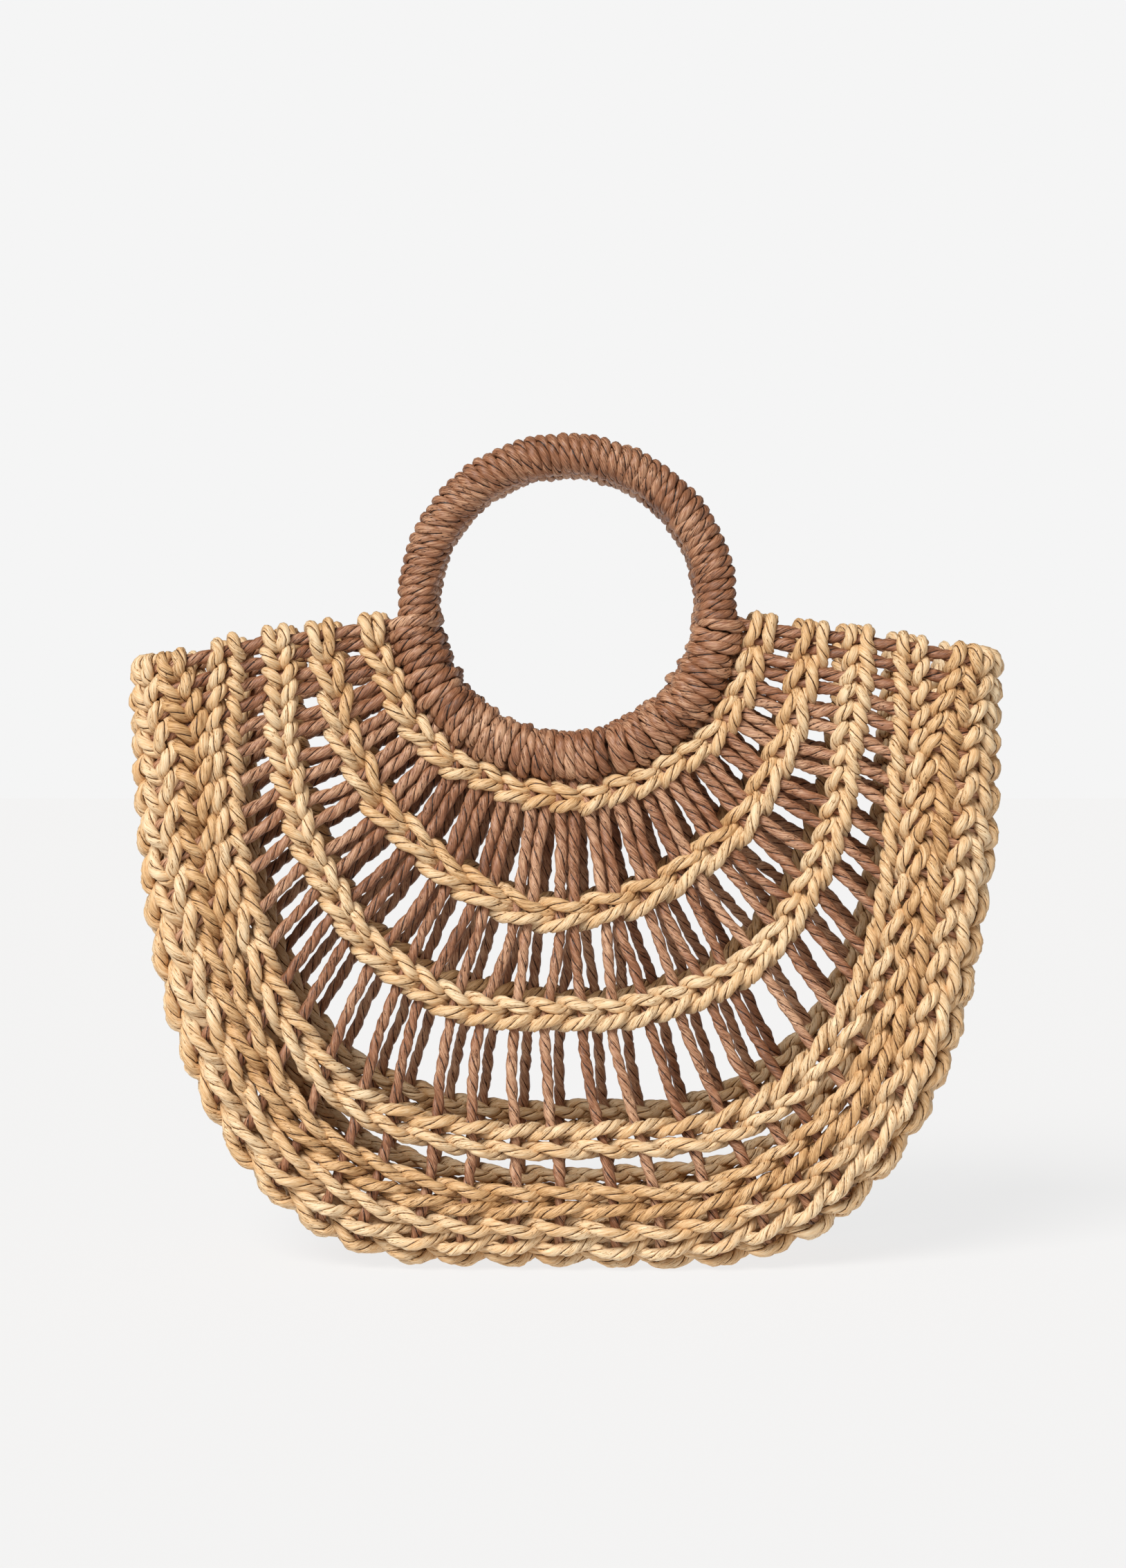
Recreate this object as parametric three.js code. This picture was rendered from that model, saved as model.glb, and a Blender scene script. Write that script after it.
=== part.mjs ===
// Openwork basket bag of twisted rope with two ring handles, in millimetres. +Z is up, X runs along the bag's
// width and the front faces -Y. The origin is on the floor, under the middle of the base.
//
// Brown spoke ropes fan out from each ring, run down its panel, under the base and up to the other ring. Tan rows
// are twined across them: four spaced rows on each panel, and close rows that make the ends and the base.
import * as THREE from "three";

// Overall sizes
const bagHalfWidth = 188;
const ringHeight = 284; // ring centres above the floor
const baseHalfDepth = 52;
const mouthHalfDepth = 38;
const ringHalfSpacing = 16; // from the bag's middle plane to each ring's plane

// Outline, seen from the front
const baseFlatHalf = 42;
const outlinePower = 2.7;
const edgeRadius = 16; // rounding between a panel and the base, on the spoke layer

// Rope and weave
const ropeDiameter = 5;
const rowThickness = 4;
const weaveGap = 1;
const rowWidth = 12.5; // two twined rows side by side
const closeRowGap = 0.8;
const closeRowCount = 15;
const pairPinch = 5.5; // centre distance of a spoke rope's two legs where a row gathers them

// Ring handles
const ringRadius = 64; // centre line of the core
const coreRadius = 4.5;
const coreGap = 1;
const wrapRadius = 9;
const lashingOffset = 2; // the lashing's centre lies outside the core's by this much
const lashingRadius = 11;
const lashingHalfDepth = 10;
const swingGap = 1.6; // between the lashing and the ends of the spoke ropes, so that the ring can tilt

// Spoke fan
const spokeCount = 21;
const fanAngle = THREE.MathUtils.degToRad(83); // from straight down to the outermost leg
const rimMargin = THREE.MathUtils.degToRad(1.4);
const sleeveGapAngle = THREE.MathUtils.degToRad(0.6);

// Where each row's curve lies, from the ring outwards: its shares of the way from the spokes' start to the bag's
// side and to the floor, and the curve's power
const spacedRows = [
  { sideShare: 0.05, floorShare: 0.03, power: 2 },
  { sideShare: 0.235, floorShare: 0.255, power: 1.95 },
  { sideShare: 0.405, floorShare: 0.465, power: 2.55 },
  { sideShare: 0.6, floorShare: 0.73, power: 3 },
];
const firstCloseRow = { sideShare: 0.74, floorShare: 0.838, power: 3 };

const brown = { color: 0x9b7056, roughness: 0.8, metalness: 0 };
const tan = { color: 0xdeb882, roughness: 0.85, metalness: 0 };

// Worked out from the sizes above
const ropeRadius = ropeDiameter / 2;
const rowLift = ropeRadius + weaveGap + rowThickness / 2;
const wallThickness = rowLift + rowThickness / 2; // from the spokes' centre line to the bag's outer face
const spokeStart = ringRadius + lashingOffset + lashingRadius + swingGap + ropeRadius;
const legStep = (2 * fanAngle) / (2 * spokeCount - 1);
const pairAngles = Array.from({ length: spokeCount }, (_, i) => (2 * i - spokeCount + 1) * legStep);
const legAngles = pairAngles.flatMap((angle) => [angle - legStep / 2, angle + legStep / 2]);
const rimAngle = fanAngle + rimMargin;
const knotAngles = [-rimAngle, ...legAngles, rimAngle];

// A swept solid's path: each station has its place, the direction its thickness points, and its half sizes. A
// station's ahead is its direction of travel, which is worked out from its neighbours where it isn't given.
class Sweep extends THREE.Curve {
  constructor(stations) {
    super();
    this.stations = stations;
  }

  getSpacedPoints() {
    return this.stations.map((station) => station.place);
  }

  computeFrenetFrames() {
    const last = this.stations.length - 1;
    const tangents = this.stations.map(({ ahead }, i) => {
      if (ahead) return ahead;
      const before = this.stations[Math.max(i - 1, 0)].place;
      const after = this.stations[Math.min(i + 1, last)].place;
      return after.clone().sub(before).normalize();
    });
    const outs = this.stations.map(({ out }, i) => {
      return out.clone().addScaledVector(tangents[i], -out.dot(tangents[i])).normalize();
    });
    return {
      tangents,
      normals: outs.map((out, i) => out.clone().multiplyScalar(this.stations[i].halfThickness)),
      binormals: outs.map((out, i) => tangents[i].clone().cross(out).multiplyScalar(this.stations[i].halfWidth)),
    };
  }
}

function polygon(sides) {
  const turn = (2 * Math.PI) / sides;
  const corners = Array.from({ length: sides }, (_, i) => {
    return new THREE.Vector2(Math.cos((i + 0.5) * turn), Math.sin((i + 0.5) * turn));
  });
  return new THREE.Shape(corners);
}

const ropeSection = polygon(6);
const rowSection = new THREE.Shape([[1, -1], [1, 1], [-1, 1], [-1, -1]].map(([x, y]) => new THREE.Vector2(x, y)));

function sweep(section, stations) {
  const steps = stations.length - 1;
  return new THREE.ExtrudeGeometry(section, { steps, curveSegments: 4, extrudePath: new Sweep(stations) });
}

// Distance from the ring's centre to the bag's outer face, in the direction angle from straight down.
function outlineRadius(angle) {
  let inside = 0;
  let outside = 2 * Math.max(ringHeight, bagHalfWidth);
  for (let i = 0; i < 50; i++) {
    const radius = (inside + outside) / 2;
    const past = Math.max(radius * Math.abs(Math.sin(angle)) - baseFlatHalf, 0);
    const across = past / (bagHalfWidth - baseFlatHalf);
    const down = (radius * Math.cos(angle)) / ringHeight;
    if (across ** outlinePower + down ** outlinePower > 1) {
      outside = radius;
    } else {
      inside = radius;
    }
  }
  return inside;
}

function rowRadius(row, angle) {
  const across = Math.abs(Math.sin(angle)) / THREE.MathUtils.lerp(spokeStart, bagHalfWidth, row.sideShare);
  const down = Math.cos(angle) / THREE.MathUtils.lerp(spokeStart, ringHeight, row.floorShare);
  return (across ** row.power + down ** row.power) ** (-1 / row.power);
}

function halfDepth(angle) {
  const share = Math.min(Math.abs(angle) / fanAngle, 1) ** 1.5;
  return THREE.MathUtils.lerp(baseHalfDepth, mouthHalfDepth, share);
}

// The spoke layer cut by the plane of one spoke: down the front panel, round the edge, across the base, and back
// up. Its two coordinates are the distance from the ring's centre and the depth.
function spokeProfile(angle) {
  const edge = outlineRadius(angle) - wallThickness;
  const depth = halfDepth(angle) - wallThickness;
  const start = new THREE.Vector2(spokeStart, -ringHalfSpacing);
  const slope = new THREE.Vector2(edge, -depth).sub(start).normalize();
  const trim = edgeRadius * Math.tan(Math.acos(slope.y) / 2);
  const arcStart = new THREE.Vector2(edge, -depth).addScaledVector(slope, -trim);
  const arcAngle = Math.atan2(-slope.x, slope.y);
  const path = new THREE.Path();
  path.moveTo(start.x, start.y);
  path.lineTo(arcStart.x, arcStart.y);
  path.absarc(edge - edgeRadius, trim - depth, edgeRadius, arcAngle, 0, false);
  path.lineTo(edge, depth - trim);
  path.absarc(edge - edgeRadius, depth - trim, edgeRadius, 0, -arcAngle, false);
  path.lineTo(start.x, -start.y);
  const panel = arcStart.distanceTo(start);
  return { angle, path, slope, panel, bend: -arcAngle * edgeRadius, length: path.getLength() };
}

const profiles = knotAngles.map(spokeProfile);

// A place on one knot's profile, lifted from the spoke layer. Run is the length along the profile.
function profilePlace(profile, run, lift) {
  const share = THREE.MathUtils.clamp(run / profile.length, 0, 1);
  const flat = profile.path.getPoint(share);
  const along = profile.path.getTangent(share);
  const radius = flat.x + along.y * lift;
  const depth = flat.y - along.x * lift;
  return new THREE.Vector3(radius * Math.sin(profile.angle), depth, ringHeight - radius * Math.cos(profile.angle));
}

// Lanes run across the spokes. Each gives, for one profile, the length along it from the front ring.
const laneStart = () => 0;
const laneRow = (row) => (profile) => (rowRadius(row, profile.angle) - spokeStart) / profile.slope.x;
const laneEdge = (share) => (profile) => profile.panel + share * profile.bend;
const laneMirrored = (lane) => (profile) => profile.length - lane(profile);
const laneClose = (share) => (profile) => {
  const first = laneRow(firstCloseRow)(profile);
  return THREE.MathUtils.lerp(first, profile.length - first, share);
};

// A place on the skin between two knots, on the straight chord between their profiles.
function skinPlace(angle, lane, lift = 0) {
  const next = Math.max(knotAngles.findIndex((knot) => knot >= angle - 1e-9), 1);
  const share = (angle - knotAngles[next - 1]) / (knotAngles[next] - knotAngles[next - 1]);
  const low = profilePlace(profiles[next - 1], lane(profiles[next - 1]), lift);
  const high = profilePlace(profiles[next], lane(profiles[next]), lift);
  return low.lerp(high, share);
}

function skinOut(angle, lane) {
  return skinPlace(angle, lane, 1).sub(skinPlace(angle, lane, 0)).normalize();
}

// One spoke rope: two legs side by side, joined by a turn below the front ring's lashing.
function spokeRope(pairAngle) {
  const even = legStep / 2;
  const gathered = spacedRows[1];
  const pinch = pairPinch / 2 / rowRadius(gathered, pairAngle);
  const stops = [
    { lane: laneStart, spread: even },
    { lane: laneRow(gathered), spread: pinch },
    { lane: laneRow(spacedRows[2]), spread: even },
    { lane: laneEdge(0), spread: even },
    { lane: laneEdge(0.5), spread: even },
    { lane: laneEdge(1), spread: even },
  ];
  const leg = (side) => {
    const stationAt = (lane, spread) => {
      const angle = pairAngle + side * spread;
      return { place: skinPlace(angle, lane), out: skinOut(angle, lane), halfThickness: ropeRadius, halfWidth: ropeRadius };
    };
    const front = stops.map(({ lane, spread }) => stationAt(lane, spread));
    const back = stops.map(({ lane, spread }) => stationAt(laneMirrored(lane), spread)).reverse();
    return [...front, ...back];
  };
  const left = leg(-1);
  const right = leg(1);
  const middle = left[0].place.clone().lerp(right[0].place, 0.5);
  const half = right[0].place.clone().sub(middle);
  const up = middle.clone().sub(skinPlace(pairAngle, laneRow(gathered))).setLength(half.length());
  const crown = [-Math.PI / 3, 0, Math.PI / 3].map((angle) => {
    const place = middle.clone().addScaledVector(half, Math.sin(angle)).addScaledVector(up, Math.cos(angle) - 1);
    return { ...left[0], place };
  });
  left[0].place.sub(up);
  right[0].place.sub(up);
  return sweep(ropeSection, [...left.reverse(), ...crown, ...right]);
}

// One spaced row: a rope folded round the left rim spoke, with one half outside the spokes and one half inside.
function spacedRow(lane) {
  const size = { halfThickness: rowThickness / 2, halfWidth: rowWidth / 2 };
  const layer = (side) => knotAngles.map((angle) => {
    return { place: skinPlace(angle, lane, side * rowLift), out: skinOut(angle, lane).multiplyScalar(side), ...size };
  });
  const rim = skinPlace(-rimAngle, lane);
  const out = skinOut(-rimAngle, lane);
  const away = rim.clone().sub(skinPlace(knotAngles[1], lane)).normalize();
  const turn = [0.25, 0.5, 0.75].map((share) => {
    const direction = out.clone().multiplyScalar(Math.cos(share * Math.PI));
    direction.addScaledVector(away, Math.sin(share * Math.PI));
    return { place: rim.clone().addScaledVector(direction, rowLift), out: direction, ...size };
  });
  return sweep(rowSection, [...layer(1).reverse(), ...turn, ...layer(-1)]);
}

// One close row of the ends and the base, outside the spokes. It is lifted square to the skin, and it is as wide as
// the spacing of the rows, measured square to the row, leaves.
function closeRow(index) {
  const lane = laneClose(index / (closeRowCount - 1));
  const places = knotAngles.map((angle) => skinPlace(angle, lane));
  const stations = knotAngles.map((angle, i) => {
    const pitch = (laneClose(1)(profiles[i]) - laneClose(0)(profiles[i])) / (closeRowCount - 1);
    const before = places[Math.max(i - 1, 0)];
    const along = places[Math.min(i + 1, places.length - 1)].clone().sub(before).normalize();
    const down = profilePlace(profiles[i], lane(profiles[i]) + 1, 0).sub(places[i]).normalize();
    const square = along.clone().cross(down);
    const spokeOut = skinOut(angle, lane);
    const out = square.clone().setLength(Math.sign(square.dot(spokeOut)));
    return {
      place: places[i].clone().addScaledVector(out, rowLift),
      out,
      halfThickness: rowThickness / 2,
      halfWidth: (pitch * square.length() - closeRowGap) / 2,
    };
  });
  return sweep(rowSection, stations);
}

function ringCore() {
  const sides = 6;
  const points = Array.from({ length: sides + 1 }, (_, i) => {
    const angle = (2 * Math.PI * (i % sides)) / sides;
    return new THREE.Vector2(ringRadius + coreRadius * Math.cos(angle), coreRadius * Math.sin(angle));
  });
  return new THREE.LatheGeometry(points, 30);
}

// A sleeve round the ring's core between two angles from straight down, with the core's bore through it.
function ringSleeve(fromAngle, toAngle, steps, outline) {
  const section = new THREE.Shape();
  section.absellipse(outline.offset, 0, outline.radius, outline.halfDepth, 0, 2 * Math.PI, false);
  const bore = new THREE.Path();
  bore.absarc(0, 0, coreRadius + coreGap, 0, 2 * Math.PI, true);
  section.holes.push(bore);
  const stations = Array.from({ length: steps + 1 }, (_, i) => {
    const angle = THREE.MathUtils.lerp(fromAngle, toAngle, i / steps);
    const out = new THREE.Vector3(Math.sin(angle), 0, -Math.cos(angle));
    const ahead = new THREE.Vector3(Math.cos(angle), 0, Math.sin(angle));
    return { place: out.clone().multiplyScalar(ringRadius), out, ahead, halfThickness: 1, halfWidth: 1 };
  });
  return sweep(section, stations);
}

function named(name, geometry, look) {
  const mesh = new THREE.Mesh(geometry, new THREE.MeshStandardMaterial(look));
  mesh.name = name;
  return mesh;
}

function handle(side, depth) {
  const group = new THREE.Group();
  const lashed = { offset: lashingOffset, radius: lashingRadius, halfDepth: lashingHalfDepth };
  const wrapped = { offset: 0, radius: wrapRadius, halfDepth: wrapRadius };
  const wrapStart = rimAngle + sleeveGapAngle;
  group.add(named(`handle_core_${side}`, ringCore(), brown));
  group.add(named(`handle_lashing_${side}`, ringSleeve(-rimAngle, rimAngle, 14, lashed), brown));
  group.add(named(`handle_wrap_${side}`, ringSleeve(wrapStart, 2 * Math.PI - wrapStart, 14, wrapped), brown));
  group.position.set(0, depth, ringHeight);
  return group;
}

const bag = new THREE.Group();
bag.add(handle("front", -ringHalfSpacing));
bag.add(handle("back", ringHalfSpacing));
pairAngles.forEach((angle, i) => {
  bag.add(named(`spoke_rope_${String(i + 1).padStart(2, "0")}`, spokeRope(angle), brown));
});
spacedRows.forEach((row, i) => {
  bag.add(named(`twined_row_front_${i + 1}`, spacedRow(laneRow(row)), tan));
  bag.add(named(`twined_row_back_${i + 1}`, spacedRow(laneMirrored(laneRow(row))), tan));
});
for (let i = 0; i < closeRowCount; i++) {
  bag.add(named(`base_row_${String(i + 1).padStart(2, "0")}`, closeRow(i), tan));
}

export default bag;
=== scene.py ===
import math

import bmesh
import bpy
import numpy as np
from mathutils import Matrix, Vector


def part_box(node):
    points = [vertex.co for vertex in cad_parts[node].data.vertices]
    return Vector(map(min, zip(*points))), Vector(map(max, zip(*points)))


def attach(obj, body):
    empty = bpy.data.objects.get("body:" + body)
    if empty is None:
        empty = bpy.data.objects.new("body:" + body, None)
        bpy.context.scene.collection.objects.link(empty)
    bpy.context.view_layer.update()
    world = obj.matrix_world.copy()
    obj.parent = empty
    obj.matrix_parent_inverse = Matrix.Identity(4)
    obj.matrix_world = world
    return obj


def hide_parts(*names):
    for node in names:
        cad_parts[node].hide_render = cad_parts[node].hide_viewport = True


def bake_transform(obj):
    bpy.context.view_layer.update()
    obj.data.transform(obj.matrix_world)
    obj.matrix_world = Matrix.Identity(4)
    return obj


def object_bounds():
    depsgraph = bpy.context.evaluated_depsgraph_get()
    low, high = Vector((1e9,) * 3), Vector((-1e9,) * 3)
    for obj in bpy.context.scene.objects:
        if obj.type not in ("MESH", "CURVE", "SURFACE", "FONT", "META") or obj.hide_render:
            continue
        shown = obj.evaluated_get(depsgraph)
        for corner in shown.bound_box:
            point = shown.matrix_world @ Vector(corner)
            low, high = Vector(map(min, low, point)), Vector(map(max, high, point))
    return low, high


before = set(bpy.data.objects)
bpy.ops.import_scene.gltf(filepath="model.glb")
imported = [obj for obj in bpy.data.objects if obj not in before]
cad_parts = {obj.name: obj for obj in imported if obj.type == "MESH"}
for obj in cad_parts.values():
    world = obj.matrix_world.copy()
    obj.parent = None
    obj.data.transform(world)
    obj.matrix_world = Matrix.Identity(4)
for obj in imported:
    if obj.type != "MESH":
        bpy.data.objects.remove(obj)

cadLow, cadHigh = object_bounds()
dice = np.random.default_rng(7)
print("Basket bag: the frame is in, and every piece that follows is rope")

coreLow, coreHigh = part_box("handle_core_front")
ringHeight = (coreLow.z + coreHigh.z) / 2
ringHalfSpacing = -(coreLow.y + coreHigh.y) / 2

bag = {
    "halfWidth": cadHigh.x,
    "baseFlatHalf": 0.042,      # the part of the base that lies flat on the floor
    "outlinePower": 2.7,
    "baseHalfDepth": 0.052,
    "mouthHalfDepth": 0.038,
    "edgeRadius": 0.016,        # rounding between a panel and the base
    "wall": 0.0072,             # from the spokes' centre line to the outer face
    "spokeStart": 0.0811,       # where the spoke layer begins, from the ring's centre
    "panelBow": 0.0025,         # how far a panel bulges between ring and edge
    "fan": math.radians(83),    # from straight down to the outermost leg
}

rope = {
    "radius": 0.0028,
    "lay": 0.018,               # length in which the two plies go once round each other
    # section from a ply's crown down to the valley between the plies: degrees round it, share of the radius
    "quarter": ((0, 1.0), (32, 0.97), (58, 0.9), (79, 0.78), (90, 0.52)),
    "step": 0.0015,             # distance between sections along a rope
    "crumple": 0.027,           # size of each wrinkle wave, as a share of the radius
    "folds": 0.045,             # depth of the sharp folds in the paper, as a share of the radius
    "swell": 0.03,              # how much its thickness varies, as a share of the radius
    "wander": 0.0003,           # how far a rope strays from its even course
    "drift": (0.012, 0.05),     # shortest and longest wave of its straying and its thickness
    "twistDrift": 0.35,         # how far the plies run ahead or behind, in radians
    "twistWaves": (0.02, 0.07),
    "grainTurn": 95,            # radians a metre by which the creases run straighter than the plies
    "grainShift": 400,          # millimetres along the grain between one rope's creases and another's
}


def smooth(low, high, value):
    t = np.clip((value - low) / (high - low), 0, 1)
    return t * t * (3 - 2 * t)


def outlineRadius(theta):
    # distance from the ring's centre to the outer face, by halving
    low = np.zeros_like(theta)
    high = np.full_like(theta, 2 * ringHeight)
    for _ in range(40):
        radius = (low + high) / 2
        past = np.maximum(radius * np.abs(np.sin(theta)) - bag["baseFlatHalf"], 0)
        across = past / (bag["halfWidth"] - bag["baseFlatHalf"])
        down = np.abs(radius * np.cos(theta)) / ringHeight
        outside = across ** bag["outlinePower"] + down ** bag["outlinePower"] > 1
        high = np.where(outside, radius, high)
        low = np.where(outside, low, radius)
    return low


def profileAt(theta):
    # the spoke layer cut along one spoke: straight panel, rounded edge, flat base
    edge = outlineRadius(theta) - bag["wall"]
    share = np.clip(np.abs(theta) / bag["fan"], 0, 1) ** 1.5
    depth = bag["baseHalfDepth"] + (bag["mouthHalfDepth"] - bag["baseHalfDepth"]) * share - bag["wall"]
    out = edge - bag["spokeStart"]
    back = depth - ringHalfSpacing
    size = np.hypot(out, back)
    slopeOut, slopeBack = out / size, back / size
    bend = math.pi / 2 + np.arctan2(slopeBack, slopeOut)
    trim = bag["edgeRadius"] * np.tan(bend / 2)
    panel = size - trim
    length = 2 * (panel + bend * bag["edgeRadius"] + depth - trim)
    return {"edge": edge, "depth": depth, "slopeOut": slopeOut, "slopeBack": slopeBack,
            "bend": bend, "trim": trim, "panel": panel, "length": length}


def skin(theta, run):
    # place, direction outwards and direction down the spoke, at a run along the spoke layer from the ring
    theta, run = np.broadcast_arrays(np.asarray(theta, float), np.asarray(run, float))
    p = profileAt(theta)
    flip = run > p["length"] / 2
    q = np.where(flip, p["length"] - run, run)
    side = np.where(flip, 1.0, -1.0)
    onPanel = q < p["panel"]
    turn = np.clip((q - p["panel"]) / bag["edgeRadius"], 0, p["bend"])
    angle = turn - p["bend"]
    flat = np.maximum(q - p["panel"] - p["bend"] * bag["edgeRadius"], 0)
    radius = np.where(onPanel, bag["spokeStart"] + p["slopeOut"] * q,
                      p["edge"] - bag["edgeRadius"] * (1 - np.cos(angle)))
    depth = np.where(onPanel, ringHalfSpacing + p["slopeBack"] * q,
                     p["depth"] - p["trim"] - bag["edgeRadius"] * np.sin(angle) - flat)
    outR = np.where(onPanel, -p["slopeBack"], np.cos(angle))
    outY = np.where(onPanel, p["slopeOut"], -np.sin(angle))
    bow = bag["panelBow"] * np.sin(math.pi * np.clip(q / p["panel"], 0, 1)) * onPanel
    radius = radius + bow * outR
    depth = depth + bow * outY
    sin, cos = np.sin(theta), np.cos(theta)
    place = np.stack([radius * sin, side * depth, ringHeight - radius * cos], -1)
    out = np.stack([outR * sin, side * outY, -outR * cos], -1)
    across = np.stack([cos, np.zeros_like(cos), sin], -1)
    down = np.cross(across, out)
    return place, out, down, radius


# slow drift of the whole wall, so that all that crosses there moves together: for each wave its
# size in metres, how fast it goes with the angle and with the run, and where it starts
wallDrift = {
    "out": ((0.0007, 5.1, 31, 0.6), (0.0005, 11.3, -47, 2.1)),
    "along": ((0.0008, 7.7, 23, 1.3), (0.0006, 17.9, 60, 0)),
}


def unevenness(theta, run, direction):
    return sum(size * np.sin(perAngle * theta + perRun * run + start)
               for size, perAngle, perRun, start in wallDrift[direction])


def onSkin(theta, run, lift=0.0, slip=0.0):
    place, out, down, _ = skin(theta, run)
    theta, run = np.asarray(theta, float), np.asarray(run, float)
    lifted = out * np.asarray(lift + unevenness(theta, run, "out"))[..., None]
    return place + lifted + down * np.asarray(slip + unevenness(theta, run, "along"))[..., None]


spokes = {
    "ropes": 21,
    "pinch": 0.0056,            # centre distance of a rope's two legs where a row gathers them
    "open": 0.09,               # how much the fan opens low down in the middle
    "lean": math.radians(2.3),  # how far the fan leans to the right towards the base
    "backTurn": math.radians(2.1),  # how far the back panel's legs lie to the right of the front's
    "droop": (math.radians(2.2), math.radians(1.2)),    # how far the rims sag at the left and right corners
    "unrest": math.radians(0.4),
    "droopFrom": math.radians(55),
    # distances from the ring's centre between which each of these comes in
    "gathers": (0.078, 0.095),
    "leans": (0.18, 0.258),
    "backTurns": (0.17, 0.26),
    "droops": (0.11, 0.187),
    "opensPast": 0.004,         # how far beyond the third row the fan is fully open
    "start": -0.045,            # where a leg starts, above the spoke layer, as a share of the layer's length
    "points": 420,
}
legCount = 2 * spokes["ropes"]
evenAngles = np.linspace(-bag["fan"], bag["fan"], legCount)
legUnrest = dice.normal(0, spokes["unrest"], legCount)

# each row's reach to the side and down, and its curve's power; how many legs it crosses at a time, how far
# apart its two ropes lie, which way its Vs point, how far a strand strays from its rope's line, the rope's
# size, and for the rows near the handles two heights, whose presence keeps a row out of the basket body
spacedRows = [
    {"halfWidth": 0.0845, "drop": 0.0835, "power": 2.0, "gather": 2, "apart": 0.0058, "points": 1,
     "aside": 0.0015, "size": 1.0, "bends": (0.12, 0.2)},
    {"halfWidth": 0.106, "drop": 0.133, "power": 1.95, "gather": 2, "apart": 0.007, "points": 1,
     "aside": 0.0018, "size": 1.02, "bends": (0.19, 0.286)},
    {"halfWidth": 0.1245, "drop": 0.176, "power": 2.55, "gather": 1, "apart": 0.0068, "points": 1,
     "aside": 0.0018, "size": 1.02, "bends": (0.19, 0.286)},
    {"halfWidth": 0.1465, "drop": 0.229, "power": 3.0, "gather": 1, "apart": 0.008, "points": -1,
     "aside": 0.0018, "size": 1.0, "bends": None},
]
closeRows = {
    "halfWidth": 0.155, "drop": 0.251, "power": 3.0, "count": 15,
    "flare": 0.07,          # how much wider the first row's curve opens at the rims
    "flareFrom": math.radians(68),
    "tightBelow": 0.14,     # how much closer than even the outer rows lie along the bottom edges
    "tightEnds": -0.12,     # and up the ends
    "endsBetween": (0.4, 1.3),      # angles between which the bottom turns into the ends
    "backLower": 0.004,     # how much lower the last row lies on the back panel
    "aside": (0.2, 0.14),   # how far a strand strays, in pitches: below, and how much more up the ends
    "asideBetween": (0.5, 1.1),
    "asideLimits": (0.001, 0.003),
    "size": 0.97,           # of the rope along the bottom edges
    "endsFuller": 0.13,     # how much fuller it lies up the ends, between these heights
    "fullerBetween": (0.04, 0.12),
    "middleFuller": 0.12,   # and in the middle rows
}


def rowRadius(row, theta):
    flare = 1 + row.get("flare", 0) * smooth(closeRows["flareFrom"], bag["fan"], np.abs(theta))
    across = np.abs(np.sin(theta)) / (row["halfWidth"] * flare)
    down = np.abs(np.cos(theta)) / row["drop"]
    return (across ** row["power"] + down ** row["power"]) ** (-1 / row["power"])


def legAngle(leg, radius, isBack):
    even = evenAngles[leg]
    pairAngle = (evenAngles[leg // 2 * 2] + evenAngles[leg // 2 * 2 + 1]) / 2
    side = 1 if leg % 2 else -1
    near = rowRadius(spacedRows[1], even)
    far = rowRadius(spacedRows[2], even)
    pinched = pairAngle + side * spokes["pinch"] / 2 / np.maximum(radius, 0.05)
    opened = even * (1 + spokes["open"] * (1 - (even / bag["fan"]) ** 2)) + legUnrest[leg]
    angle = even + (pinched - even) * smooth(*spokes["gathers"], radius)
    angle = angle + (opened - angle) * smooth(near, far + spokes["opensPast"], radius)
    angle = angle + spokes["lean"] * math.cos(even) ** 2 * smooth(*spokes["leans"], radius)
    angle = angle + isBack * spokes["backTurn"] * math.cos(even) * (1 - smooth(*spokes["backTurns"], radius))
    droop = spokes["droop"][0 if even < 0 else 1] * smooth(spokes["droopFrom"], bag["fan"], abs(even))
    return angle - math.copysign(droop, even) * smooth(*spokes["droops"], radius)


def crossing(legs, lane, isBack):
    # the angle at which one leg, or a pair, is crossed by a row
    theta = np.mean([evenAngles[leg] for leg in legs])
    for _ in range(4):
        radius = float(skin(theta, lane(theta))[3])
        theta = float(np.mean([legAngle(leg, radius, isBack) for leg in legs]))
    return theta


def laneOfRow(row, shift, isBack):
    def lane(theta):
        p = profileAt(np.asarray(theta, float))
        run = (rowRadius(row, theta) - bag["spokeStart"]) / p["slopeOut"] + shift
        return p["length"] - run if isBack else run
    return lane


def laneOfCloseRow(index):
    def lane(theta):
        p = profileAt(np.asarray(theta, float))
        first = (rowRadius(closeRows, theta) - bag["spokeStart"]) / p["slopeOut"]
        share = index / (closeRows["count"] - 1)
        upTheEnd = smooth(*closeRows["endsBetween"], np.abs(theta))
        tight = closeRows["tightBelow"] - (closeRows["tightBelow"] - closeRows["tightEnds"]) * upTheEnd
        reach = p["length"] - 2 * first - closeRows["backLower"] * np.cos(theta) ** 2
        return first + reach * (share - tight / (2 * math.pi) * np.sin(2 * math.pi * share))
    return lane


def resample(path, step):
    gaps = np.linalg.norm(np.diff(path, axis=0), axis=1)
    keep = np.concatenate([[True], gaps > 1e-7])
    path = path[keep]
    along = np.concatenate([[0], np.cumsum(np.linalg.norm(np.diff(path, axis=0), axis=1))])
    count = max(int(round(along[-1] / step)), 3) + 1
    stops = np.linspace(0, along[-1], count)
    return np.stack([np.interp(stops, along, path[:, k]) for k in range(3)], -1)


def wholeSection(quarter):
    # degrees and share of the radius all the way round, from one mirrored quarter
    half = [*quarter, *[(180 - degrees, share) for degrees, share in quarter[-2:0:-1]]]
    return [*half, *[(degrees + 180, share) for degrees, share in half]]


ropeSection = wholeSection(rope["quarter"])
sectionTurn = np.radians([degrees for degrees, _ in ropeSection])
sectionCount = len(ropeSection)


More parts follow.
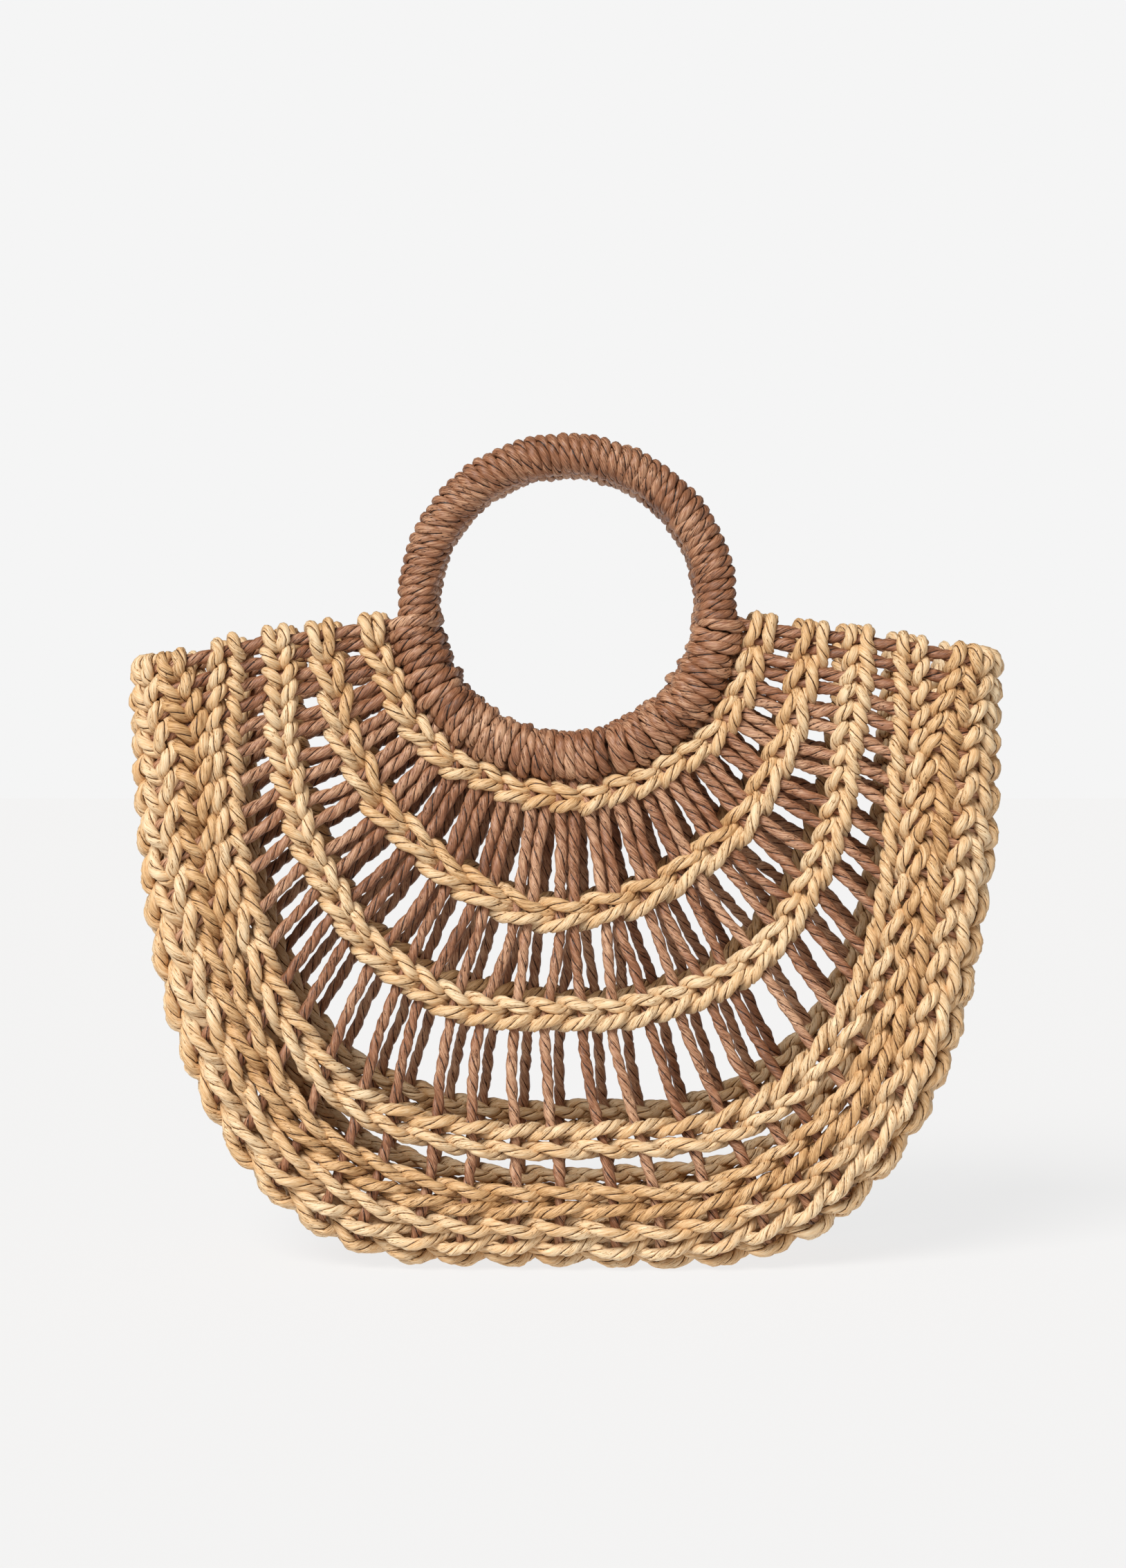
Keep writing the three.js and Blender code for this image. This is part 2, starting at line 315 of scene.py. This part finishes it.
def sectionCurve(name, section, radius):
    curve = bpy.data.curves.new(name, "CURVE")
    curve.dimensions = "2D"
    spline = curve.splines.new("POLY")
    spline.points.add(len(section) - 1)
    spline.use_cyclic_u = True
    for i, (degrees, share) in enumerate(section):
        angle = math.radians(degrees)
        spline.points[i].co = (radius * share * math.cos(angle), radius * share * math.sin(angle), 0, 1)
    drawn = bpy.data.objects.new(name, curve)
    bpy.context.scene.collection.objects.link(drawn)
    return drawn


plySection = sectionCurve("ply_section", ropeSection, rope["radius"])


def waves(along, count, low, high):
    # an uneven line: the sum of a few waves between two wavelengths
    line = np.zeros_like(along)
    for _ in range(count):
        length = dice.uniform(low, high)
        line += np.sin(2 * math.pi * along / length + dice.uniform(0, 2 * math.pi)) / math.sqrt(count)
    return line


def crumple(along):
    # how far paper wrinkles push each point of each section in or out, as a share of the radius
    swell = 1 + rope["swell"] * waves(along, 3, *rope["drift"])[:, None] + np.zeros(sectionCount)
    for ridges in (1, 2, 3, 4, 5):
        length = dice.uniform(0.008, 0.04) * dice.choice((-1, 1))
        phase = ridges * sectionTurn + 2 * math.pi * along[:, None] / length + dice.uniform(0, 6.28)
        swell += rope["crumple"] * np.sin(phase)
        swell -= rope["folds"] * np.exp(-(np.sin(phase / 2 + 1) / 0.2) ** 2) * (ridges > 2)
    return swell


def ropePiece(name, paths, material, size=1.0):
    # one object of several ropes: curves with the ply twist, made a mesh that knows where each fibre lies
    curve = bpy.data.curves.new(name, "CURVE")
    curve.dimensions = "3D"
    curve.twist_mode = "MINIMUM"
    curve.bevel_mode = "OBJECT"
    curve.bevel_object = plySection
    curve.use_fill_caps = True
    starts, tones = [], []
    for path in paths:
        path = resample(np.asarray(path, float), rope["step"])
        count = len(path)
        along = np.arange(count) * np.linalg.norm(path[1] - path[0])
        path = path + rope["wander"] * np.stack([waves(along, 3, *rope["drift"]) for _ in range(3)], -1)
        turn = dice.uniform(0, 2 * math.pi) - 2 * math.pi * along / rope["lay"]
        turn = turn + rope["twistDrift"] * waves(along, 2, *rope["twistWaves"])
        spline = curve.splines.new("POLY")
        spline.points.add(count - 1)
        spline.points.foreach_set("co", np.concatenate([path, np.ones((count, 1))], 1).ravel())
        spline.points.foreach_set("tilt", turn)
        spline.points.foreach_set("radius", size(path) if callable(size) else np.full(count, size))
        spline.use_smooth = True
        starts.append(along)
        tones.append(dice.uniform(0, 1))
    swept = bpy.data.objects.new(name + "_path", curve)
    bpy.context.scene.collection.objects.link(swept)
    bpy.context.view_layer.update()
    graph = bpy.context.evaluated_depsgraph_get()
    mesh = bpy.data.meshes.new_from_object(swept.evaluated_get(graph))
    bpy.data.objects.remove(swept)
    points = np.empty(len(mesh.vertices) * 3, np.float32)
    mesh.vertices.foreach_get("co", points)
    points = points.reshape(-1, sectionCount, 3)
    capCount = 2 * len(paths)   # the caps come first, an end and a start for each rope, last rope first
    ring = capCount
    for k, along in enumerate(starts):
        rings = points[ring:ring + len(along)]
        cap = capCount - 2 * (k + 1)
        centre = rings.mean(axis=1, keepdims=True)
        rings[:] = centre + (rings - centre) * crumple(along)[..., None]
        points[cap], points[cap + 1] = rings[-1], rings[0]
        ring += len(along)
    mesh.vertices.foreach_set("co", points.ravel())
    fibre, tone = [], []
    caps = [(along[[-1, 0]], toneHere) for along, toneHere in zip(starts[::-1], tones[::-1])]
    millimetres = 1000 * rope["radius"]
    for along, toneHere in [*caps, *zip(starts, tones)]:
        turn = sectionTurn + rope["grainTurn"] * along[:, None]
        grain = [millimetres * np.cos(turn), millimetres * np.sin(turn),
                 1000 * along[:, None] + rope["grainShift"] * toneHere + np.zeros(sectionCount)]
        fibre.append(np.stack(grain, -1).ravel())
        tone.append(np.full(len(along) * sectionCount, toneHere))
    # points in the valley between the plies: the material paints shade along them
    valley = np.isclose(np.cos(sectionTurn), 0, atol=0.01).astype(float)
    for label, kind, key, values in (("fibreSpace", "FLOAT_VECTOR", "vector", np.concatenate(fibre)),
                                     ("ropeTone", "FLOAT", "value", np.concatenate(tone)),
                                     ("plyGrooveShade", "FLOAT", "value", np.tile(valley, len(points)))):
        mesh.attributes.new(label, kind, "POINT").data.foreach_set(key, values)
    bm = bmesh.new()
    bm.from_mesh(mesh)
    bmesh.ops.remove_doubles(bm, verts=bm.verts, dist=1e-6)
    bmesh.ops.recalc_face_normals(bm, faces=bm.faces)
    bm.to_mesh(mesh)
    bm.free()
    mesh.shade_smooth()
    mesh.materials.clear()
    mesh.materials.append(material)
    piece = bpy.data.objects.new(name, mesh)
    bpy.context.scene.collection.objects.link(piece)
    return piece


def linear(hexColour):
    parts = [int(hexColour[i:i + 2], 16) / 255 for i in (1, 3, 5)]
    return tuple(c / 12.92 if c <= 0.04045 else ((c + 0.055) / 1.055) ** 2.4 for c in parts) + (1,)


def addNode(material, kind, settings=None, inputs=None):
    node = material.node_tree.nodes.new(kind)
    for key, value in (settings or {}).items():
        setattr(node, key, value)
    for key, value in (inputs or {}).items():
        if isinstance(value, bpy.types.NodeSocket):
            material.node_tree.links.new(value, node.inputs[key])
        else:
            node.inputs[key].default_value = value
    return node


paper = {
    "alongGrain": 0.14,         # how much the grain is drawn out along the rope
    "streaks": 1.9,             # to the millimetre: streaks of tone about half a millimetre wide
    "creases": 0.7,             # to the millimetre: creases one or two millimetres apart
    "patches": 60,              # to the metre: paler and darker stretches, and where creases gather
    "streakTone": (0.7, -0.06),
    "ropeTone": 0.16,           # how much one rope differs from the next
    "patchTone": 0.4,
    "creaseHeight": -0.9,
    "reliefDepth": 0.0005,      # metres
    "glossSpread": (-0.08, 0.1),
}


def paperRope(name, look):
    # kraft paper twisted into two plies: dull, creased along the plies, with painted shade along the creases
    # and a painted shade line where the plies meet
    material = bpy.data.materials.new(name)
    material.use_nodes = True
    material.node_tree.nodes.clear()
    multiply = {"operation": "MULTIPLY"}
    multiplyAdd = {"operation": "MULTIPLY_ADD"}
    fibreSpace = addNode(material, "ShaderNodeAttribute", {"attribute_name": "fibreSpace"}).outputs["Vector"]
    ropeTone = addNode(material, "ShaderNodeAttribute", {"attribute_name": "ropeTone"}).outputs["Fac"]
    grooveShadeMask = addNode(material, "ShaderNodeAttribute", {"attribute_name": "plyGrooveShade"}).outputs["Fac"]
    place = addNode(material, "ShaderNodeTexCoord").outputs["Object"]
    long = addNode(material, "ShaderNodeMapping", None,
                   {"Vector": fibreSpace, "Scale": (1, 1, paper["alongGrain"])}).outputs[0]
    streakNoise = addNode(material, "ShaderNodeTexNoise", None,
                          {"Vector": long, "Scale": paper["streaks"], "Detail": 3, "Roughness": 0.6})
    creaseNoise = addNode(material, "ShaderNodeTexNoise", None,
                          {"Vector": long, "Scale": paper["creases"], "Detail": 3, "Roughness": 0.5})
    patchNoise = addNode(material, "ShaderNodeTexNoise", None,
                         {"Vector": place, "Scale": paper["patches"], "Detail": 2})
    streaks, creases, patches = (noise.outputs["Fac"] for noise in (streakNoise, creaseNoise, patchNoise))
    # creases are thin lines where the noise crosses its middle value
    off = addNode(material, "ShaderNodeMath", {"operation": "SUBTRACT"}, {0: creases, 1: 0.5})
    offSize = addNode(material, "ShaderNodeMath", {"operation": "ABSOLUTE"}, {0: off.outputs[0]})
    crease = addNode(material, "ShaderNodeMapRange", None,
                     {"Value": offSize.outputs[0], "From Min": 0.0, "From Max": look["creaseWidth"],
                      "To Min": 1.0, "To Max": 0.0})
    creased = addNode(material, "ShaderNodeMapRange", None,
                      {"Value": patches, "From Min": 0.35, "From Max": 0.55, "To Min": 0.25, "To Max": 1.0})
    creaseHere = addNode(material, "ShaderNodeMath", multiply, {0: crease.outputs[0], 1: creased.outputs[0]})
    # painted shade: a dark line along the valley between the plies, its strength varied by the streaks
    valley = addNode(material, "ShaderNodeMapRange", None,
                     {"Value": grooveShadeMask, "From Min": 0.12, "From Max": 0.7, "To Min": 0.0, "To Max": 1.0})
    valleyHere = addNode(material, "ShaderNodeMapRange", None,
                         {"Value": streaks, "From Min": 0.35, "From Max": 0.55,
                          "To Min": 0.45, "To Max": 1.0})
    valleyShadeLine = addNode(material, "ShaderNodeMath", multiply,
                         {0: valley.outputs[0], 1: valleyHere.outputs[0]})
    # one tone, from streaks, rope and patches; painted shade in the creases and in the valleys between the
    # plies pulls it down to the dark end
    streaky = addNode(material, "ShaderNodeMath", multiplyAdd,
                      {0: streaks, 1: paper["streakTone"][0], 2: paper["streakTone"][1]})
    toned = addNode(material, "ShaderNodeMath", multiplyAdd,
                    {0: ropeTone, 1: paper["ropeTone"], 2: streaky.outputs[0]})
    patched = addNode(material, "ShaderNodeMath", multiplyAdd,
                      {0: patches, 1: paper["patchTone"], 2: toned.outputs[0]})
    # painted shade: the colour is darkened along the creases, more where the patches gather them
    paintedCreaseShade = addNode(material, "ShaderNodeMath", multiplyAdd,
                         {0: creaseHere.outputs[0], 1: -look["paintedCreaseShade"], 2: patched.outputs[0]})
    paintedValleyShade = addNode(material, "ShaderNodeMath", multiplyAdd,
                         {0: valleyShadeLine.outputs[0], 1: -look["paintedValleyShade"], 2: paintedCreaseShade.outputs[0]})
    ramp = addNode(material, "ShaderNodeValToRGB", None, {"Fac": paintedValleyShade.outputs[0]})
    stops = ramp.color_ramp.elements
    stops[0].position, stops[0].color = 0.02, linear(look["line"])
    stops[1].position, stops[1].color = 0.8, linear(look["light"])
    for position, tint in ((0.3, "deep"), (0.52, "body")):
        stops.new(position).color = linear(look[tint])
    height = addNode(material, "ShaderNodeMath", multiplyAdd,
                     {0: creaseHere.outputs[0], 1: paper["creaseHeight"], 2: streaks})
    bump = addNode(material, "ShaderNodeBump", None,
                   {"Height": height.outputs[0], "Strength": look["relief"],
                    "Distance": paper["reliefDepth"]})
    glossiest, dullest = (look["roughness"] + spread for spread in paper["glossSpread"])
    shine = addNode(material, "ShaderNodeMapRange", None,
                    {"Value": streaks, "From Min": 0.3, "From Max": 0.7,
                     "To Min": glossiest, "To Max": dullest})
    shader = addNode(material, "ShaderNodeBsdfPrincipled", None,
                     {"Base Color": ramp.outputs["Color"], "Roughness": shine.outputs[0], "IOR": 1.47,
                      "Normal": bump.outputs["Normal"]})
    addNode(material, "ShaderNodeOutputMaterial", None, {"Surface": shader.outputs[0]})
    return material


# line is the darkest colour, reached mostly through the painted shade in the creases and ply valleys; deep,
# body and light are the paper's own tones
tanRope = paperRope("natural twisted kraft paper cord", {
    "line": "#3a200c", "deep": "#90612e", "body": "#d8ac78", "light": "#f2dcb7",
    "creaseWidth": 0.016, "paintedCreaseShade": 0.46, "paintedValleyShade": 0.75, "relief": 0.6, "roughness": 0.5})
brownRope = paperRope("dyed brown twisted kraft paper cord", {
    "line": "#180a04", "deep": "#4f2c15", "body": "#956243", "light": "#dbb08c",
    "creaseWidth": 0.018, "paintedCreaseShade": 0.5, "paintedValleyShade": 0.75, "relief": 0.6, "roughness": 0.42})

print("Spoke ropes")
# distances from the ring's centre, from the middle of the fan out to the rims and at the ring, at which
# points on each panel are placed for each spoke rope
bendReach = {"middle": 0.097, "rim": 0.183, "ring": 0.080}
legThickness = {"below": 0.9, "crowded": 0.1, "between": (0.15, 0.2)}


def reachAt(theta):
    share = min(abs(theta) / bag["fan"], 1) ** 2
    return bendReach["middle"] + (bendReach["rim"] - bendReach["middle"]) * share


def legPath(leg, isBack):
    share = np.linspace(spokes["start"], 0.5, spokes["points"])
    theta = np.full_like(share, evenAngles[leg])
    for _ in range(4):
        run = share * profileAt(theta)["length"]
        radius = skin(theta, run)[3]
        theta = legAngle(leg, radius, isBack)
    run = share * profileAt(theta)["length"]
    if isBack:
        run = profileAt(theta)["length"] - run
    return onSkin(theta, run)


def placeOnPanel(theta, radius, isBack):
    p = profileAt(np.asarray(theta, float))
    run = (radius - bag["spokeStart"]) / p["slopeOut"]
    return Vector(onSkin(theta, p["length"] - run if isBack else run))


def legSize(path):
    # pulled tight between the rows, fuller where the legs crowd together below the ring
    return legThickness["below"] + legThickness["crowded"] * smooth(*legThickness["between"], path[:, 2])


for ropeIndex in range(spokes["ropes"]):
    node = f"spoke_rope_{ropeIndex + 1:02d}"
    theta = float(np.mean(evenAngles[2 * ropeIndex:2 * ropeIndex + 2]))
    for isBack, side in ((False, "front"), (True, "back")):
        legs = [legPath(2 * ropeIndex + k, isBack) for k in (0, 1)]
        piece = ropePiece(f"{node}_{side}_legs", legs, brownRope, legSize)
        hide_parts(node)
        placeOnPanel(theta, reachAt(theta), isBack)
        placeOnPanel(theta, bendReach["ring"], isBack)
        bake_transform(piece)

twining = {
    "over": 0.0042,     # how far a strand's centre passes over a spoke's centre
    "hold": 1.12,       # above 1, a strand stays flat over a spoke for part of its way
    "foldReach": 1.05,  # how far a fold stands off the rim leg, as a share of over
    "tuck": 0.011,      # how far a finished end runs back inside
    "tuckIn": 0.0012,   # how far it sinks in as it goes
    "tuckAside": 0.0022,
}


def twinedRope(lane, groups, slant, aside, isBack):
    # one rope folded round the left rim leg; its two halves change sides between one spoke and the next
    over = twining["over"]
    stops = np.array([crossing(legs, lane, isBack) for legs in groups])
    rims = [crossing([0], lane, isBack), crossing([legCount - 1], lane, isBack)]
    count = len(stops)

    def half(phase):
        u = np.linspace(0, count - 1, 40 * count)
        theta = np.interp(u, np.arange(count), stops)
        turn = math.pi * u + phase
        lift = over * np.clip(twining["hold"] * np.cos(turn), -1, 1)
        slip = slant * aside(theta) * np.sin(turn)
        return onSkin(theta, lane(theta), lift, slip)

    def rimTurn(rim, outward):
        # the half circle over a rim leg, from the outer side to the inner
        place = onSkin(rim, lane(rim))
        _, out, down, _ = skin(rim, lane(rim))
        away = np.cross(out, down) * outward
        if away[0] * outward < 0:
            away = -away
        turn = np.linspace(0, math.pi, 24)
        reach = away * twining["foldReach"]
        return place + over * (np.cos(turn)[:, None] * out + np.sin(turn)[:, None] * reach)

    outerHalf, innerHalf = half(0), half(math.pi)
    fold = rimTurn(rims[0], -1)
    endTurn = rimTurn(rims[1], 1)
    back = np.linspace(0.0, 1.0, 12)
    thetaBack = rims[1] - back * twining["tuck"] / float(skin(rims[1], lane(rims[1]))[3])
    tucked = onSkin(thetaBack, lane(thetaBack),
                    -over - twining["tuckIn"] * back, slant * twining["tuckAside"] * back)
    if count % 2:
        outerHalf = np.concatenate([outerHalf, endTurn, tucked])
    else:
        innerHalf = np.concatenate([innerHalf, endTurn, tucked])
    return np.concatenate([innerHalf[::-1], fold[::-1], outerHalf])


print("Spaced rows")
for rowIndex, row in enumerate(spacedRows):
    gather = row["gather"]
    groups = [list(range(i, i + gather)) for i in range(0, legCount, gather)]
    for isBack, side in ((False, "front"), (True, "back")):
        ropes = []
        for shift in (-0.5, 0.5):
            lane = laneOfRow(row, shift * row["apart"], isBack)
            slant = -2 * shift * row["points"] * (-1 if isBack else 1)
            ropes.append(twinedRope(lane, groups, slant, lambda theta: row["aside"] + 0 * theta, isBack))
        node = f"twined_row_{side}_{rowIndex + 1}"
        piece = ropePiece(node + "_ropes", ropes, tanRope, row["size"])
        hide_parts(node)
        if row["bends"]:
            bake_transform(piece)
        else:
            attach(piece, "basket")

print("Close rows")
singles = [[i] for i in range(legCount)]
middleRow = (closeRows["count"] - 1) / 2
for index in range(closeRows["count"]):
    lane = laneOfCloseRow(index)
    fromEdge = 1 - abs(index - middleRow) / middleRow

    def aside(theta):
        pitch = laneOfCloseRow(index + 0.5)(theta) - laneOfCloseRow(index - 0.5)(theta)
        below, more = closeRows["aside"]
        share = below + more * smooth(*closeRows["asideBetween"], np.abs(theta))
        return np.clip(share * pitch, *closeRows["asideLimits"])

    def rowSize(path):
        # the rope lies looser and fuller up the ends, and in the middle rows, than along the bottom edges
        upTheEnd = smooth(*closeRows["fullerBetween"], path[:, 2])
        return closeRows["size"] + closeRows["endsFuller"] * upTheEnd + closeRows["middleFuller"] * fromEdge

    node = f"base_row_{index + 1:02d}"
    rowRope = twinedRope(lane, singles, 1 if index % 2 == 0 else -1, aside, index > closeRows["count"] / 2)
    piece = ropePiece(node + "_rope", [rowRope], tanRope, rowSize)
    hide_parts(node)
    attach(piece, "basket")

print("Ring handles")
handle = {
    "radius": 0.064,        # centre line of the hoop
    "wrapRadius": 0.0066,   # from the hoop's centre line to the wrap rope's
    "wrapTurns": 51,
    "wrapFrom": math.radians(82.5),     # from straight down: just under the last hitch
    "wrapPoints": 2000,
    "wrapFlare": 0.0013,    # how much wider the first and last turns lie, over this share of the wrap
    "flareShare": 0.02,
    "lashCentre": 0.0662,   # from the ring's centre to the middle of a hitch
    "lashOut": 0.0087,      # half a hitch's size towards the ring's centre
    "lashDeep": 0.0072,     # and from front to back
    "lashArc": (math.radians(20), math.radians(340)),
    "lashSlant": 0.02,
    "lashSize": 1.04,
    "centreUnrest": 0.0006, "angleUnrest": 0.008, "outUnrest": 0.0004, "deepUnrest": 0.0003,
    "evenCentre": -0.0004, "oddCentre": 0.0007,     # every other hitch lies a little further out, and deeper
    "oddDeep": 0.0005,
}


def ringPoint(theta, radius, depth, y):
    return np.stack([radius * np.sin(theta), y + depth, ringHeight - radius * np.cos(theta)], -1)


for side, y in (("front", -ringHalfSpacing), ("back", ringHalfSpacing)):
    t = np.linspace(0, 1, handle["wrapPoints"])
    theta = handle["wrapFrom"] + (2 * math.pi - 2 * handle["wrapFrom"]) * t
    turn = 2 * math.pi * handle["wrapTurns"] * t
    flare = smooth(handle["flareShare"], 0.0, t) + smooth(1 - handle["flareShare"], 1.0, t)
    reach = handle["wrapRadius"] + handle["wrapFlare"] * flare
    wrap = ringPoint(theta, handle["radius"] + reach * np.cos(turn), reach * np.sin(turn), y)
    piece = ropePiece(f"handle_wrap_{side}_rope", [wrap], brownRope)
    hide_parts(f"handle_wrap_{side}")
    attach(piece, side + "_handle")
    hitches = []
    for leg in range(legCount):
        isOdd = leg % 2
        centre = handle["lashCentre"] + dice.normal(0, handle["centreUnrest"])
        centre += handle["oddCentre"] if isOdd else handle["evenCentre"]
        turn = np.linspace(*handle["lashArc"], 60)
        theta = evenAngles[leg] + dice.normal(0, handle["angleUnrest"]) + handle["lashSlant"] * np.sin(turn)
        outSize = handle["lashOut"] + dice.normal(0, handle["outUnrest"])
        deepSize = handle["lashDeep"] + dice.normal(0, handle["deepUnrest"]) + handle["oddDeep"] * isOdd
        hitches.append(ringPoint(theta, centre + outSize * np.cos(turn), deepSize * np.sin(turn), y))
    piece = ropePiece(f"handle_lashing_{side}_hitches", hitches, brownRope, handle["lashSize"])
    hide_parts(f"handle_lashing_{side}")
    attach(piece, side + "_handle")
    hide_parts(f"handle_core_{side}")

bpy.data.objects.remove(plySection)

print("Studio")
studio = {
    "reference": Vector((-0.0018, -0.03, 0.207)),   # the point that the camera looks at
    "distance": 1.47,
    "cameraHeight": 0.25,
    "fieldHeight": 0.667,       # what the frame shows at the reference point
    "sensorHeight": 36,
    "backdrop": "#f5f5f5",
    "floorHalf": 6,
    "floorColour": "#656361",
    "floorGlow": 0.86,          # lit from below, so that shadows stay pale
    "roomLight": 0.2,
    "keyStrength": 3.6,
    "keySoftness": math.radians(30),
    "keyFrom": (-0.5, -0.95, 0.85),     # from the left, in front and above
}
camera = bpy.data.objects.new("camera", bpy.data.cameras.new("camera"))
bpy.context.scene.collection.objects.link(camera)
camera.location = (studio["reference"].x, studio["reference"].y - studio["distance"], studio["cameraHeight"])
camera.rotation_euler = (studio["reference"] - camera.location).to_track_quat("-Z", "Y").to_euler()
camera.data.sensor_fit = "VERTICAL"
camera.data.sensor_height = studio["sensorHeight"]
camera.data.lens = studio["sensorHeight"] * studio["distance"] / studio["fieldHeight"]
bpy.context.scene.camera = camera

bm = bmesh.new()
bmesh.ops.create_grid(bm, x_segments=1, y_segments=1, size=studio["floorHalf"])
floorMesh = bpy.data.meshes.new("floor")
bm.to_mesh(floorMesh)
bm.free()
floor = bpy.data.objects.new("floor", floorMesh)
bpy.context.scene.collection.objects.link(floor)
floorPaint = bpy.data.materials.new("opal white light table")     # flat, pale and without gloss
floorPaint.use_nodes = True
floorFace = floorPaint.node_tree.nodes["Principled BSDF"]
floorFace.inputs["Base Color"].default_value = linear(studio["floorColour"])
floorFace.inputs["Roughness"].default_value = 1.0
floorFace.inputs["Specular IOR Level"].default_value = 0.0
floorFace.inputs["Emission Color"].default_value = linear(studio["backdrop"])
floorFace.inputs["Emission Strength"].default_value = studio["floorGlow"]
floorMesh.materials.append(floorPaint)

world = bpy.data.worlds.new("studio")
bpy.context.scene.world = world
world.use_nodes = True
nodes, links = world.node_tree.nodes, world.node_tree.links
room = nodes["Background"]
room.inputs["Color"].default_value = linear("#ffffff")
room.inputs["Strength"].default_value = studio["roomLight"]
backdrop = nodes.new("ShaderNodeBackground")
backdrop.inputs["Color"].default_value = linear(studio["backdrop"])
seen = nodes.new("ShaderNodeLightPath")
either = nodes.new("ShaderNodeMixShader")
links.new(seen.outputs["Is Camera Ray"], either.inputs[0])
links.new(room.outputs[0], either.inputs[1])
links.new(backdrop.outputs[0], either.inputs[2])
links.new(either.outputs[0], nodes["World Output"].inputs["Surface"])
bpy.context.scene.view_settings.view_transform = "Standard"

keyLight = bpy.data.lights.new("large softbox", "SUN")
keyLight.angle = studio["keySoftness"]
keyLight.energy = studio["keyStrength"]
keyHolder = bpy.data.objects.new("large softbox", keyLight)
keyHolder.rotation_euler = Vector(studio["keyFrom"]).to_track_quat("Z", "Y").to_euler()
bpy.context.scene.collection.objects.link(keyHolder)
